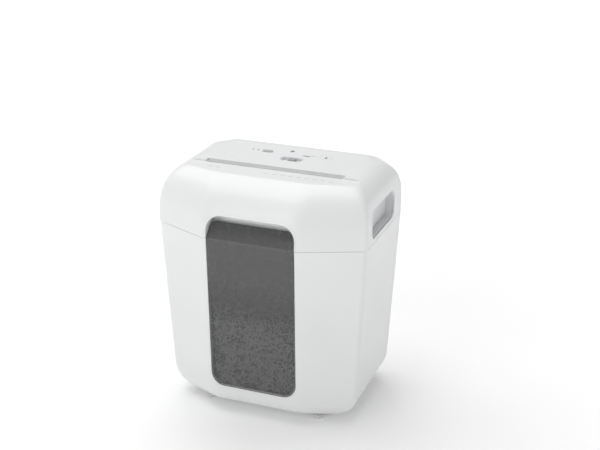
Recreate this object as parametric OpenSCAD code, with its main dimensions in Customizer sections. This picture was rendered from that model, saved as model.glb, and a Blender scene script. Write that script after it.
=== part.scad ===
// Desk-side paper shredder: a lift-off cutting head seated on a waste bin with a smoked window.
// Millimetres, +Z up, front towards -Y, origin on the floor at the middle of the footprint.
// The head is drawn seated on the bin's rim; it lifts straight up.

/* [Bin] */
// Width over the rim
rim_w = 340; // [320:1:360]
// Depth over the rim
rim_d = 256; // [246:1:266]
// Height of the rim above the floor
rim_z = 304; // [296:1:316]
// Height of the feet
foot_h = 6; // [4:0.5:8]
// How much narrower each side is at the floor than at the rim
side_taper = 14; // [10:1:18]
// How far the front leans in from rim to floor
front_taper = 16; // [12:1:20]
// Radius of the big round bottom corners, seen from the front
base_round = 46; // [36:1:54]
// Wall thickness of the bin
bin_wall = 3; // [2.6:0.1:3.4]

/* [Window] */
// Half width of the flat front that holds the window
front_half = 71; // [66:1:74]
// Height of the window's lower edge above the floor
window_z = 50; // [44:1:60]
// Thickness of the window panel
window_t = 2.2; // [2:0.1:2.4]
// How high the lip stands above the rim
lip_rise = 22; // [18:1:24]
// How far the lip leans back
lip_lean = 23; // [20:1:24]

/* [Head] */
// Height of the head above the rim
head_h = 90; // [86:1:96]
// Wall thickness of the top cover
cover_wall = 2.6; // [2.4:0.1:3]
// Thickness of the cover's deck
deck_t = 5; // [4.6:0.2:5.4]
// How far the lip in front of the paper slot lies below the deck
lip_step = 2.4; // [1.6:0.2:2.4]
// Depth of the lower housing below the rim
skirt_h = 37; // [32:1:38]
// Height of the arch in the front of the cover
arch_h = 40; // [34:1:44]
// Half width of the paper throat
throat_half = 111; // [108:0.5:112]
// Gap of the paper throat, front to back
throat_gap = 6; // [5.4:0.2:7]

/* [Mechanism] */
// Distance between the two cutter shafts
cutter_gap = 28; // [28:1:28]
// Outside radius of a cutter disc
disc_r = 17; // [16.4:0.1:17.4]
// Thickness of a cutter disc
disc_t = 3.6; // [3.2:0.1:3.6]
// Spacing of the discs along a shaft
disc_pitch = 8; // [8:1:8]
// Radius of the cutter shafts
shaft_r = 6; // [5.6:0.1:6.2]
// Radius of the motor can
motor_r = 26; // [24:0.5:27]

/* [Hidden] */
$fn = 48;
fit = 0.3; // gap between pieces that may move past each other
run = 0.05; // radial running clearance
z0 = foot_h; // underside of the bin
rim_half = rim_w / 2;
rim_front = -rim_d / 2;
rim_back = rim_d / 2;
bow = 43; // how far the middle of the rim stands in front of the side corners
corner_y = rim_front + bow; // where the slanted front facets meet the sides
base_bow = 5; // the same at the underside
chamfer_y = rim_back - 28; // where the back corner facets start
chamfer_in = 25; // how far the back corner facets cut in
back_taper = 6; // how far the back leans in from rim to floor
deck_z = rim_z + head_h;
skirt_z = rim_z - skirt_h;
skirt_gap = 6.5; // from the rim's outline to the skirt
face_tilt = atan(front_taper / (rim_z - z0));
slot_y = -24; // middle of the paper throat
shaft_z = rim_z + 16;
front_y = slot_y - cutter_gap / 2;
rear_y = front_y + cutter_gap;
plate_x = 112; // inner face of each side plate
plate_t = 2;
plate_h = 80.5;
throat_end = throat_half + 2.5; // outer half length of the throat
floor_t = 2.5;
floor_z = skirt_z + floor_t;
hub_r = 10;
front_discs = 27;
rear_discs = 28;
timing_teeth = 16;
timing_m = cutter_gap / timing_teeth;
drive_teeth = 50;
drive_m = 1.25;
idler_teeth = 14;
idler_at = 20; // direction from the rear shaft to the idler
idler_dist = drive_m * (drive_teeth + idler_teeth) / 2;
idler_y = rear_y + idler_dist * cos(idler_at);
idler_z = shaft_z + idler_dist * sin(idler_at);
big_teeth = 48;
big_m = 1;
pinion_teeth = 12;
motor_at = -10; // direction from the idler to the motor
motor_dist = big_m * (big_teeth + pinion_teeth) / 2;
motor_y = idler_y + motor_dist * cos(motor_at);
motor_z = idler_z + motor_dist * sin(motor_at);
layer_1 = 115.5; // start of each layer of gears, along X
layer_2 = 124;
layer_3 = 132.5;
gear_w = 7;
gearbox_x = 141;
motor_x0 = 30;
motor_x1 = 105;
panel_y = -99; // front face of the set-back centre panel
arch_half = front_half + 2;
arch_r = 26; // radius of the arch's upper corners
slope_in = 83; // how far the cover's front has come in at the deck
cheek_in = 46; // the same for its sides and back
window_round = 22; // radius of the window's lower corners
notch_half = 90;
grip_half = 58;
grip_depth = 14;
slider_at = [10, 24];
button_at = [-40, 48];
lamp_at = [[-66, 50], [-57, 50]];
lamp_r = 1.5;
foot_x = 93; // middles of the foot pads
foot_ys = [-66, 80];
foot_r = 9;
foot_plug_r = 6.8; // the part of a foot that sits in the underside
foot_plug_h = 1.1;
board_z = rim_z + 66;
board_hole = [for (x = [-65, 65]) for (y = [13, 75]) [x, y]]; // screw holes in the control board
post_x = 90; // the bin's interlock post
post_y = 112;
post_z = skirt_z - 0.6; // its top, just under the head's floor
rib_x = -87; // the plain rib on the other side
rib_z = 60; // foot of both ribs
plunger_r = 3;
gland_x = 110; // cord inlet in the back
gland_z = rim_z + 16;
gland_r = 3.7;
cover_boss_at = [[140, -82], [150, 94], [50, 112]];
// places of the tie rods and gearbox standoffs, as Y and Z
tie_rod_at = [[-56, rim_z + 34], [-56, rim_z - 26], [27, rim_z - 26]];
standoff_at = [
    [-52, rim_z - 8], [-12, rim_z - 25], [22, rim_z - 13], [62, rim_z - 14], [80, rim_z + 34]
];

white = "#f0f1f1";
pale = "#d9dbdc";
smoke = "#55585a";
steel = "#b8bcc0";
dark = "#3a3c3f";
amber = "#c79a4a";
green = "#2e6b45";
paper = "#dcdcda";

// ---- outlines: a convex outline is a list of corners, inset and rounded by these functions

function unit(v) = v / norm(v);
function left_of(v) = [-v[1], v[0]];
function cross2(a, b) = a[0] * b[1] - a[1] * b[0];
// where the line p + t*u meets the line q + s*v
function meet(p, u, q, v) = p + u * (cross2(q - p, v) / cross2(u, v));
// corners of an anticlockwise outline moved inwards by d
function inset(pts, d) = [
    for (i = [0 : len(pts) - 1])
        let (
            a = pts[(i + len(pts) - 1) % len(pts)],
            b = pts[i],
            c = pts[(i + 1) % len(pts)],
            u = unit(b - a),
            v = unit(c - b)
        )
        meet(b + left_of(u) * d, u, b + left_of(v) * d, v)
];
// each corner turned into an arc of radius r[i], with steps + 1 points
function rounded(pts, r, steps) = [
    for (i = [0 : len(pts) - 1])
        let (
            a = pts[(i + len(pts) - 1) % len(pts)],
            b = pts[i],
            c = pts[(i + 1) % len(pts)],
            u = unit(b - a),
            v = unit(c - b),
            turn = asin(max(-1, min(1, cross2(u, v)))),
            back = r[i] * tan(turn / 2),
            start = b - u * back,
            mid = start + left_of(u) * r[i],
            a0 = atan2(start[1] - mid[1], start[0] - mid[0])
        )
        for (k = [0 : steps]) mid + r[i] * [cos(a0 + turn * k / steps), sin(a0 + turn * k / steps)]
];

// corners of the plan outline: half width, front, front corner, back; anticlockwise from the front
function plan_corners(half, flat, front, corner, chamfer, back, cut) = [
    [-flat, front], [flat, front], [half, corner], [half, chamfer], [half - cut, back],
    [-half + cut, back], [-half, chamfer], [-half, corner]
];
function plan_radii(front_r, back_r) = [60, 60, front_r, back_r, back_r, back_r, back_r, front_r];

// how far a quarter-round of radius r stands in, h above its foot
function round_in(h, r) = h >= r ? 0 : r - sqrt(r * r - (r - h) * (r - h));
// how far a soft shoulder of height h1 - h0 and width w has come in at height h
function shoulder(h, h0, h1, w) =
    h <= h0 ? 0 : w * (1 - pow(max(0, 1 - pow((h - h0) / (h1 - h0), 2.3)), 1 / 2.3));

// outline of the bin's outside at height z, moved in by d
function bin_ring(z, d, steps = 4) =
    let (
        t = (rim_z - z) / (rim_z - z0),
        under = round_in(z - z0, base_round),
        side = side_taper * t + under,
        face = front_taper * t + under,
        rear = back_taper * t + round_in(z - z0, 14),
        jut = bow + (base_bow - bow) * under / base_round
    )
    rounded(
        inset(
            plan_corners(
                rim_half - side, front_half, rim_front + face, rim_front + face + jut,
                chamfer_y - rear, rim_back - rear, chamfer_in
            ), d
        ),
        plan_radii(12, 10), steps
    );
// outline of the cover's outside at height h above the rim, moved in by d
function cover_ring(h, d, steps = 5) =
    let (
        face = shoulder(h, 0, head_h, slope_in),
        side = shoulder(h, 28, head_h, cheek_in),
        rear = shoulder(h, 36, head_h, cheek_in),
        blend = face / slope_in,
        jut = bow + (4 - bow) * blend
    )
    rounded(
        inset(
            plan_corners(
                rim_half - side, front_half, rim_front + face, rim_front + face + jut,
                chamfer_y - rear, rim_back - rear, chamfer_in
            ), d
        ),
        plan_radii(5 + 24 * blend, 10), steps
    );

// ---- solids made from outlines

// skin through a stack of outlines with equal numbers of points, closed at both ends
module loft(rings, heights) {
    n = len(rings[0]);
    m = len(rings);
    points = [for (j = [0 : m - 1]) for (p = rings[j]) [p[0], p[1], heights[j]]];
    sides = [
        for (j = [0 : m - 2]) for (i = [0 : n - 1])
            let (a = j * n + i, b = j * n + (i + 1) % n)
            each [[a, a + n, b], [b, a + n, b + n]]
    ];
    polyhedron(
        points,
        concat(sides, [[for (i = [0 : n - 1]) i]], [[for (i = [n - 1 : -1 : 0]) (m - 1) * n + i]])
    );
}
module bin_solid(low, high, d) {
    steps = 8;
    curve = base_round;
    heights = concat(
        [for (i = [0 : steps - 1]) low + (curve - low + z0) * (1 - cos(90 * i / steps))],
        [z0 + curve, high]
    );
    loft([for (z = heights) bin_ring(max(z - (low - z0), z0 + 0.01), d)], heights);
}
module cover_solid(d, top) {
    steps = 15;
    heights = [for (i = [0 : steps]) head_h * sin(90 * i / steps)];
    loft(
        [for (h = heights) cover_ring(h, d)],
        [for (h = heights) rim_z + h * top / head_h - (h == 0 ? (d > 0 ? 1 : 0) : 0)]
    );
}
// a prism whose outline is drawn in the Y-Z plane and which runs along X from x
module along_x(x, length) {
    translate([x, 0, 0]) rotate([90, 0, 90]) linear_extrude(length) children();
}
// a prism whose outline is drawn in the X-Z plane and which runs back along Y from y
module along_y(y, length) {
    translate([0, y + length, 0]) rotate([90, 0, 0]) linear_extrude(length) children();
}
module rod_x(x, length, y, z, r) {
    translate([x, y, z]) rotate([0, 90, 0]) cylinder(h = length, r = r);
}
module round_rect(w, h, r) {
    union() {
        square([w - 2 * r, h], center = true);
        square([w, h - 2 * r], center = true);
        for (sx = [-1, 1]) for (sy = [-1, 1])
            translate([sx * (w / 2 - r), sy * (h / 2 - r)]) circle(r);
    }
}
// an upright outline with round lower corners: half width, from low up to high
module tongue(half, low, high, r) {
    translate([-half, low + r]) square([2 * half, high - low - r]);
    translate([-half + r, low]) square([2 * (half - r), r + 1]);
    for (s = [-1, 1]) translate([s * (half - r), low + r]) circle(r);
}
// the arch in the cover's front: half width at the foot, height, from a foot below the rim
module arch_2d(half, height, r, foot) {
    intersection() {
        translate([-half, -foot]) square([2 * half, height + foot]);
        union() {
            translate([-half, -foot]) square([2 * half, height - r + foot]);
            translate([-half + r, -foot]) square([2 * (half - r), height + foot]);
            for (s = [-1, 1]) translate([s * (half - r), height - r]) circle(r);
        }
    }
}
// the window's own frame: origin at the middle of the rim, X across, Z up the leaning front
module on_front() {
    translate([0, rim_front, rim_z]) rotate([face_tilt, 0, 0]) children();
}
// spur gear outline with one tooth centred on the direction at; teeth are thinned for backlash
function involute(rb, t) = rb * [cos(t) + t * PI / 180 * sin(t), sin(t) - t * PI / 180 * cos(t)];
module gear_2d(teeth, m, at, thin = 0.22) {
    rp = m * teeth / 2;
    rb = rp * cos(20);
    ra = rp + 0.85 * m;
    rf = rp - 1.1 * m;
    t_pitch = sqrt(pow(rp / rb, 2) - 1) * 180 / PI;
    t_tip = sqrt(pow(ra / rb, 2) - 1) * 180 / PI;
    swing = t_pitch - atan2(t_pitch * PI / 180, 1);
    half = 90 / teeth - thin / 2 / rp * 180 / PI;
    flank = [
        for (k = [0 : 4])
            let (p = involute(rb, t_tip * k / 4)) [norm(p), atan2(p[1], p[0]) - swing - half]
    ];
    root = rf < rb ? [[rf, flank[0][1]]] : [];
    rising = concat(root, flank);
    tooth = concat(rising, [for (k = [len(rising) - 1 : -1 : 0]) [rising[k][0], -rising[k][1]]]);
    polygon([
        for (i = [0 : teeth - 1]) for (p = tooth)
            let (a = p[1] + at + 360 * i / teeth) p[0] * [cos(a), sin(a)]
    ]);
}
// a gear on an axis along X, with a round bore
module gear(x, w, y, z, teeth, m, at, bore) {
    difference() {
        along_x(x, w) translate([y, z]) gear_2d(teeth, m, at);
        rod_x(x - 1, w + 2, y, z, bore);
    }
}
// a pan-head screw pointing up, its head's underside at the origin
module screw(length, r, head_r) {
    union() {
        cylinder(h = length, r = r);
        difference() {
            translate([0, 0, -2]) cylinder(h = 2, r = head_r);
            translate([0, 0, -3]) cylinder(h = 2, r = head_r * 0.45, $fn = 6);
        }
    }
}

// ---- bin

// inner face of the bin's back wall at height z
function back_inside(z) = rim_back - bin_wall - back_taper * (rim_z + bin_wall - z) / (rim_z - z0);
// upright rib on the back wall, reaching into the wall by sink
module back_rib(x, top, depth, sink) {
    low = back_inside(rib_z);
    high = back_inside(top);
    along_x(x - 1.5, 3) polygon([
        [low - depth, rib_z], [low + sink, rib_z], [high + sink, top], [high - depth, top]
    ]);
}
module bin_shell() {
    color(white) difference() {
        union() {
            difference() {
                bin_solid(z0, rim_z - fit, 0);
                bin_solid(z0 + bin_wall, rim_z + 5, bin_wall);
            }
            back_rib(rib_x, skirt_z - 3, 7, 1);
        }
        on_front() along_y(-4, 4 + window_t - 0.6)
            tongue(front_half + fit, window_z - rim_z, 8, window_round);
        on_front() along_y(-4, 14) tongue(front_half - 7, window_z - rim_z + 8, 8, 16);
        for (sx = [-1, 1]) for (y = foot_ys)
            translate([sx * foot_x, y, z0 - 1])
                cylinder(h = 1 + foot_plug_h + 0.1, r = foot_plug_r + 0.2);
    }
}
module bin_window() {
    lip_len = norm([lip_rise, lip_lean]);
    lip_at = atan2(lip_lean, lip_rise);
    color(smoke, 0.6) union() {
        on_front() along_y(-0.6, window_t)
            tongue(front_half, window_z - rim_z + fit, -0.5, window_round);
        on_front() translate([0, window_t / 2 - 0.6, -0.5]) rotate([-lip_at, 0, 0])
            along_y(-window_t / 2, window_t) translate([0, lip_len]) mirror([0, 1])
                tongue(front_half - 1.5, 0, lip_len, 13);
        on_front() translate([-front_half + 1.5, window_t / 2 - 0.6, -0.5]) rotate([0, 90, 0])
            cylinder(h = 2 * front_half - 3, r = window_t / 2);
    }
}
module bin_feet() {
    color(pale) for (sx = [-1, 1]) for (y = foot_ys) translate([sx * foot_x, y, 0]) union() {
        cylinder(h = foot_h, r = foot_r);
        translate([0, 0, foot_h]) cylinder(h = foot_plug_h, r = foot_plug_r);
    }
}
module interlock_post() {
    foot = post_z - 18;
    color(white) union() {
        back_rib(post_x, post_z - 8, 12.5, 0);
        translate([post_x, post_y, foot]) cylinder(h = post_z - foot, r = 5);
        translate([post_x - 5, post_y, foot]) cube([10, back_inside(foot) - post_y, 10]);
    }
}
module shredded_paper() {
    gap = bin_wall + 1.4;
    crust = 5;
    color(paper) difference() {
        bin_solid(z0 + gap, skirt_z - 15, gap);
        bin_solid(z0 + gap + crust, skirt_z - 15 - crust, gap + crust);
        translate([0, 0, z0]) cylinder(h = 20, r = 4);
        translate([rib_x - 4, post_y - 8, z0]) cube([8, 30, rim_z]);
        translate([post_x - 8, post_y - 10, z0]) cube([16, 30, rim_z]);
    }
}

// ---- head covers

module cover_bosses() {
    web = 15.2; // from the rear bosses to the cover's side
    for (sx = [-1, 1]) {
        translate([sx * 140, -82, rim_z + 4]) cylinder(h = 26, r = 5);
        translate([sx * 140 - 1.5, -95.5, rim_z + 4]) cube([3, 12, 26]);
        translate([sx * 150, 94, rim_z + 4]) cylinder(h = 26, r = 5);
        translate([sx * 150 + (sx > 0 ? 3 : -3 - web), 92.5, rim_z + 4]) cube([web, 3, 26]);
        translate([sx * 50, 112, rim_z + 4]) cylinder(h = 26, r = 5);
        translate([sx * 50 - 1.5, 114, rim_z + 4]) cube([3, 12.5, 26]);
    }
}
module top_cover() {
    color(white) difference() {
        union() {
            difference() {
                cover_solid(0, head_h);
                cover_solid(cover_wall, head_h - deck_t);
            }
            cover_bosses();
        }
        // arch in the front
        translate([0, 0, rim_z]) along_y(rim_front - 5, 35) arch_2d(arch_half, arch_h, arch_r, 3);
        // front lip, a little lower than the deck
        translate([-150, rim_front, deck_z - lip_step]) cube([300, slot_y - 4 - rim_front, 20]);
        // paper slot
        translate([-throat_end - fit, slot_y - 5.2, rim_z + 60])
            cube([2 * (throat_end + fit), 10.4, 60]);
        // hand holds in both sides
        for (sx = [-1, 1]) translate([sx * rim_half, 0, rim_z + 29]) rotate([90, 0, 90])
            translate([0, 0, -grip_depth - 4]) linear_extrude(2 * grip_depth + 8)
                round_rect(2 * grip_half, 46, 14);
        // control recess, push button and lamps
        translate([slider_at[0], slider_at[1], deck_z - 5]) linear_extrude(10) round_rect(36, 18, 5);
        translate([button_at[0], button_at[1], deck_z - 5]) linear_extrude(10)
            round_rect(18, 10, 4.9);
        for (p = lamp_at) translate([p[0], p[1], deck_z - 5]) cylinder(h = 10, r = lamp_r + 0.1);
        // cooling slots and cord inlet in the back
        for (i = [-7 : 7]) translate([i * 9 - 1.5 - 20, rim_back - 8, rim_z + 14]) cube([3, 20, 20]);
        translate([gland_x, rim_back - 8, gland_z]) rotate([-90, 0, 0]) cylinder(h = 20, r = 7);
        translate([gland_x, rim_back - 1.1, gland_z]) rotate([-90, 0, 0]) cylinder(h = 20, r = 9.3);
        // pilot holes for the cover screws
        for (sx = [-1, 1]) for (p = cover_boss_at)
            translate([sx * p[0], p[1], rim_z]) cylinder(h = 26, r = 1.6);
    }
}
module arch_liner() {
    gap = 0.1;
    wall = 1.8;
    color(white) intersection() {
        translate([0, 0, rim_z]) along_y(rim_front, panel_y - 1.2 - rim_front) difference() {
            arch_2d(arch_half - gap, arch_h - gap, arch_r - gap, 0);
            arch_2d(arch_half - wall, arch_h - wall, arch_r - wall, 1);
        }
        cover_solid(fit, head_h - fit);
    }
}
function skirt_outline(d) = inset(
    plan_corners(rim_half, front_half, rim_front, corner_y, chamfer_y, rim_back, chamfer_in), d
);
module skirt_2d(d, notch) {
    difference() {
        polygon(rounded(skirt_outline(d), plan_radii(10, 10), 4));
        translate([-notch, -150]) square([2 * notch, 150 + panel_y + notch - notch_half]);
    }
}
module lower_housing() {
    wall = 2.4;
    color(white) difference() {
        union() {
            translate([0, 0, skirt_z]) linear_extrude(skirt_h + 3.6) difference() {
                skirt_2d(skirt_gap, notch_half);
                skirt_2d(skirt_gap + wall, notch_half + wall);
            }
            translate([0, 0, skirt_z]) linear_extrude(floor_t) skirt_2d(skirt_gap, notch_half);
            // seating flange just inside the cover
            translate([0, 0, rim_z + 1.2]) linear_extrude(2.4) difference() {
                skirt_2d(cover_wall + fit, notch_half);
                skirt_2d(skirt_gap + 1, notch_half + wall);
            }
            for (sx = [-1, 1]) for (p = cover_boss_at)
                translate([sx * p[0], p[1], skirt_z]) cylinder(h = skirt_h + 4 - fit, r = 5.5);
        }
        // discharge opening under the cutters
        translate([-110, front_y - 19, skirt_z - 1]) cube([220, 66, floor_t + 2]);
        for (sx = [-1, 1]) for (p = cover_boss_at) {
            translate([sx * p[0], p[1], skirt_z - 1]) cylinder(h = skirt_h + 10, r = 2);
            translate([sx * p[0], p[1], skirt_z - 1]) cylinder(h = skirt_h - 4, r = 3.8);
        }
        // interlock plunger
        translate([post_x, post_y - 2, skirt_z - 1]) cylinder(h = 10, r = plunger_r + fit);
        // clearance for the interlock parts and the centre panel's tabs
        translate([-notch_half - 3, panel_y - 1, skirt_z + 5]) cube([2 * notch_half + 6, 3.6, 60]);
    }
}
module centre_panel() {
    color(white) union() {
        translate([0, 0, rim_z]) along_y(panel_y, 2.2) union() {
            translate([-notch_half - 2.6, 5.4 - skirt_h]) square([2 * notch_half + 5.2, skirt_h]);
            arch_2d(arch_half + 7, arch_h + 8, arch_r, 5);
        }
        translate([0, 0, rim_z]) along_y(panel_y - 0.8, 0.9) arch_2d(front_half - 12, arch_h - 9, 18, 24);
    }
}
module grip(sx) {
    wall = 2;
    color(pale) translate([sx * rim_half, 0, rim_z + 29]) mirror([sx > 0 ? 0 : 1, 0, 0])
        rotate([90, 0, 90]) translate([0, 0, -grip_depth - wall]) difference() {
            linear_extrude(grip_depth + wall - 3) round_rect(2 * grip_half - 0.4, 45.6, 13.8);
            translate([0, 0, wall]) linear_extrude(grip_depth + wall)
                round_rect(2 * (grip_half - wall), 46 - 2 * wall, 12);
        }
}
module left_grip() {
    grip(-1);
}
module right_grip() {
    grip(1);
}
module paper_throat() {
    low = floor_z + plate_h + 1;
    top = deck_z - lip_step - 0.6;
    half = throat_gap / 2;
    color(pale) difference() {
        translate([-throat_end, slot_y - 5, low]) cube([2 * throat_end, 10, top - low]);
        along_x(-throat_half, 2 * throat_half) polygon([
            [slot_y - half, low - 1], [slot_y + half, low - 1], [slot_y + half, top - 8],
            [slot_y + half + 1.2, top + 1], [slot_y - half - 1.2, top + 1], [slot_y - half, top - 8]
        ]);
        // sight holes for the feed sensor
        translate([0, slot_y - 12, rim_z + 58]) rotate([-90, 0, 0]) cylinder(h = 24, r = 1.5);
    }
}
module switch_tray() {
    color(pale) translate([slider_at[0], slider_at[1], deck_z - 7]) difference() {
        linear_extrude(6) round_rect(35.4, 17.4, 4.7);
        translate([0, 0, 3.2]) linear_extrude(4) round_rect(31.8, 13.8, 3);
        translate([-11, -2.3, -1]) cube([22, 4.6, 8]);
    }
}
module status_lenses() {
    color("#9fb7c4") for (p = lamp_at)
        translate([p[0], p[1], deck_z - 8]) cylinder(h = 8.4, r = lamp_r);
}
module feed_sensor() {
    color(dark) for (s = [-1, 1]) translate([0, slot_y + s * 8, rim_z + 58]) union() {
        translate([-5, -2.5, -5]) cube([10, 5, 10]);
        rotate([s * 90, 0, 0]) cylinder(h = 4.4, r = 1.3);
    }
}
module cord_gland() {
    color(dark) translate([gland_x, rim_back - 8, gland_z]) rotate([-90, 0, 0]) difference() {
        union() {
            cylinder(h = 8.6, r = 6.8);
            translate([0, 0, 7]) cylinder(h = 1.6, r = 9);
            translate([0, 0, 2]) cylinder(h = 3, r = 8.6);
        }
        translate([0, 0, -1]) cylinder(h = 14, r = gland_r);
    }
}

// ---- cutting unit

module side_plate(x) {
    side = x > 0 ? 1 : 0;
    difference() {
        along_x(x, plate_t) difference() {
            translate([-62, floor_z]) square([side ? 152 : 96, plate_h]);
            translate([front_y, shaft_z]) circle(9.5);
            translate([rear_y, shaft_z]) circle(9.5);
            // relief under the cutters, and cut-off top corner
            translate([-46, floor_z - 1]) square([50, 12]);
            translate([-63, floor_z + plate_h + 1]) rotate(-45) square([30, 20], center = true);
        }
        for (p = tie_rod_at) rod_x(x - 1, plate_t + 2, p[0], p[1], 2.6);
        if (side) {
            rod_x(x - 1, plate_t + 2, motor_y, motor_z, 10.2);
            rod_x(x - 1, plate_t + 2, idler_y, idler_z, 4.02);
            for (a = [45, 225]) rod_x(
                x - 1, plate_t + 2, motor_y + 19 * cos(a), motor_z + 19 * sin(a), 2.1
            );
            for (p = standoff_at) rod_x(x - 1, plate_t + 2, p[0], p[1], 2.1);
        }
    }
}
module left_side_plate() {
    color(steel) side_plate(-plate_x - plate_t);
}
module right_side_plate() {
    color(steel) side_plate(plate_x);
}
module gearbox_plate() {
    color(steel) difference() {
        along_x(gearbox_x, 1.6) difference() {
            translate([-58, floor_z + 4]) square([146, 82]);
            translate([90, rim_z + 60]) rotate(45) square([40, 40], center = true);
            translate([-59, rim_z + 56]) rotate(45) square([50, 50], center = true);
        }
        rod_x(gearbox_x - 1, 4, rear_y, shaft_z, shaft_r + 2);
        rod_x(gearbox_x - 1, 4, idler_y, idler_z, 4.02);
        for (p = standoff_at) rod_x(gearbox_x - 1, 4, p[0], p[1], 2.1);
    }
}
module gearbox_standoffs() {
    start = plate_x + plate_t;
    color(steel) for (p = standoff_at) difference() {
        rod_x(start, gearbox_x - start, p[0], p[1], 4);
        rod_x(start - 1, 9, p[0], p[1], 1.6);
        rod_x(gearbox_x - 8, 9, p[0], p[1], 1.6);
    }
}
module tie_rods() {
    color(steel) for (p = tie_rod_at) union() {
        rod_x(-plate_x - plate_t - 6, 2 * (plate_x + plate_t + 6), p[0], p[1], 2.55);
        rod_x(-plate_x, 2 * plate_x, p[0], p[1], 4);
    }
}
module bush(x, length, y, r) {
    difference() {
        rod_x(x, length, y, shaft_z, r);
        rod_x(x - 1, length + 2, y, shaft_z, shaft_r + run);
    }
}
module shaft_bushes() {
    color(amber) union() {
        for (y = [front_y, rear_y]) {
            bush(plate_x - 1.6, plate_t + 2.6, y, 9.45);
            bush(-plate_x - plate_t - 1, plate_t + 2.6, y, 9.45);
        }
        bush(gearbox_x - 0.4, 2.4, rear_y, shaft_r + 1.95);
    }
}
// fingers that strip the paper out from between the discs of one shaft
module comb(bar_y, finger_y, finger_len, first, count) {
    union() {
        translate([-plate_x + 0.2, bar_y, shaft_z - 16]) cube([2 * plate_x - 0.4, 4, 26]);
        for (i = [0 : count - 1]) translate([first + i * disc_pitch - 1.5, finger_y, shaft_z - 7])
            cube([3, finger_len, 14]);
    }
}
module front_comb() {
    color(dark) comb(front_y - 22, front_y - 19, 7.4, -100, 26);
}
module rear_comb() {
    color(dark) comb(rear_y + 18, rear_y + 11.6, 7.4, -104, 27);
}
// saw-toothed cutter discs on a hub, turned a little from one disc to the next
module cutters(y, first, count) {
    teeth = 5;
    difference() {
        union() {
            rod_x(-plate_x + 2.1, 2 * plate_x - 4.2, y, shaft_z, hub_r);
            for (i = [0 : count - 1])
                along_x(first + i * disc_pitch - disc_t / 2, disc_t) translate([y, shaft_z])
                    polygon([
                        for (k = [0 : teeth - 1]) let (a = 360 * k / teeth + i * 17)
                            each [
                                disc_r * [cos(a), sin(a)],
                                (disc_r - 3) * [cos(a + 9), sin(a + 9)],
                                (disc_r - 1.6) * [cos(a + 30), sin(a + 30)],
                                (disc_r - 0.6) * [cos(a + 52), sin(a + 52)]
                            ]
                    ]);
        }
        rod_x(-plate_x - 1, 2 * plate_x + 2, y, shaft_z, shaft_r + 0.02);
    }
}
module front_shaft() {
    color(steel) rod_x(-plate_x - 6, 2 * plate_x + 17, front_y, shaft_z, shaft_r);
}
module front_cutters() {
    color(steel) cutters(front_y, -104, front_discs);
}
module front_timing_gear() {
    color(steel) gear(
        layer_1, gear_w, front_y, shaft_z, timing_teeth, timing_m, 180 / timing_teeth, shaft_r + 0.02
    );
}
module rear_shaft() {
    color(steel) rod_x(-plate_x - 6, plate_x + 6 + gearbox_x + 1.6, rear_y, shaft_z, shaft_r);
}
module rear_cutters() {
    color(steel) cutters(rear_y, -108, rear_discs);
}
module rear_timing_gear() {
    color(steel) gear(
        layer_1, gear_w, rear_y, shaft_z, timing_teeth, timing_m, 180, shaft_r + 0.02
    );
}
module drive_gear() {
    color(pale) difference() {
        gear(layer_2, gear_w, rear_y, shaft_z, drive_teeth, drive_m, idler_at, shaft_r + 0.02);
        for (a = [0 : 60 : 300]) rod_x(
            layer_2 - 1, 3, rear_y + 18 * cos(a), shaft_z + 18 * sin(a), 5
        );
    }
}
module idler_pin() {
    color(steel) rod_x(plate_x, gearbox_x + 1.6 - plate_x, idler_y, idler_z, 4);
}
module idler_gear() {
    color("#e8e4da") union() {
        gear(
            layer_2, layer_3 - layer_2, idler_y, idler_z, idler_teeth, drive_m,
            idler_at + 180 + 180 / idler_teeth, 4 + run
        );
        gear(
            layer_3, gear_w - 1, idler_y, idler_z, big_teeth, big_m, motor_at, 4 + run
        );
    }
}

// ---- motor

module motor_can() {
    color(steel) difference() {
        rod_x(motor_x0, motor_x1 - motor_x0, motor_y, motor_z, motor_r);
        rod_x(motor_x0 + 3, motor_x1 - motor_x0, motor_y, motor_z, motor_r - 2.4);
        rod_x(motor_x0 - 1, 6, motor_y, motor_z, 2.5 + run);
        for (a = [30 : 60 : 330]) rod_x(
            motor_x0 - 1, 6, motor_y + 15 * cos(a), motor_z + 15 * sin(a), 3.4
        );
    }
}
module motor_end_cap() {
    color(dark) difference() {
        union() {
            rod_x(motor_x1, plate_x - motor_x1, motor_y, motor_z, motor_r);
            rod_x(motor_x1 - 3, 4, motor_y, motor_z, motor_r - 2.5);
            rod_x(plate_x - 1, plate_t + 1, motor_y, motor_z, 10);
        }
        rod_x(motor_x1 - 5, 20, motor_y, motor_z, 2.5 + run);
        for (a = [45, 225]) rod_x(
            motor_x1 - 5, 20, motor_y + 19 * cos(a), motor_z + 19 * sin(a), 2.1
        );
    }
}
module motor_magnets() {
    low = motor_x0 + 8;
    color(dark) for (s = [-1, 1]) intersection() {
        difference() {
            rod_x(low, 60, motor_y, motor_z, motor_r - 2.6);
            rod_x(low - 1, 62, motor_y, motor_z, 18.8);
        }
        translate([low, motor_y + s * 22 - 11, motor_z - 14]) cube([60, 22, 28]);
    }
}
module motor_rotor() {
    color(amber) union() {
        rod_x(motor_x0 - 16, layer_3 + gear_w + 14 - motor_x0, motor_y, motor_z, 2.5);
        difference() {
            rod_x(motor_x0 + 10, 56, motor_y, motor_z, 17.6);
            for (a = [0 : 45 : 315]) rotate_about_motor(a)
                translate([motor_x0 + 9, motor_y + 9, motor_z - 1.4]) cube([58, 12, 2.8]);
        }
    }
}
module rotate_about_motor(a) {
    translate([0, motor_y, motor_z]) rotate([a, 0, 0]) translate([0, -motor_y, -motor_z]) children();
}
module motor_pinion() {
    color(amber) gear(
        layer_3, gear_w - 1, motor_y, motor_z, pinion_teeth, big_m,
        motor_at + 180 + 180 / pinion_teeth, 2.52
    );
}
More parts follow.
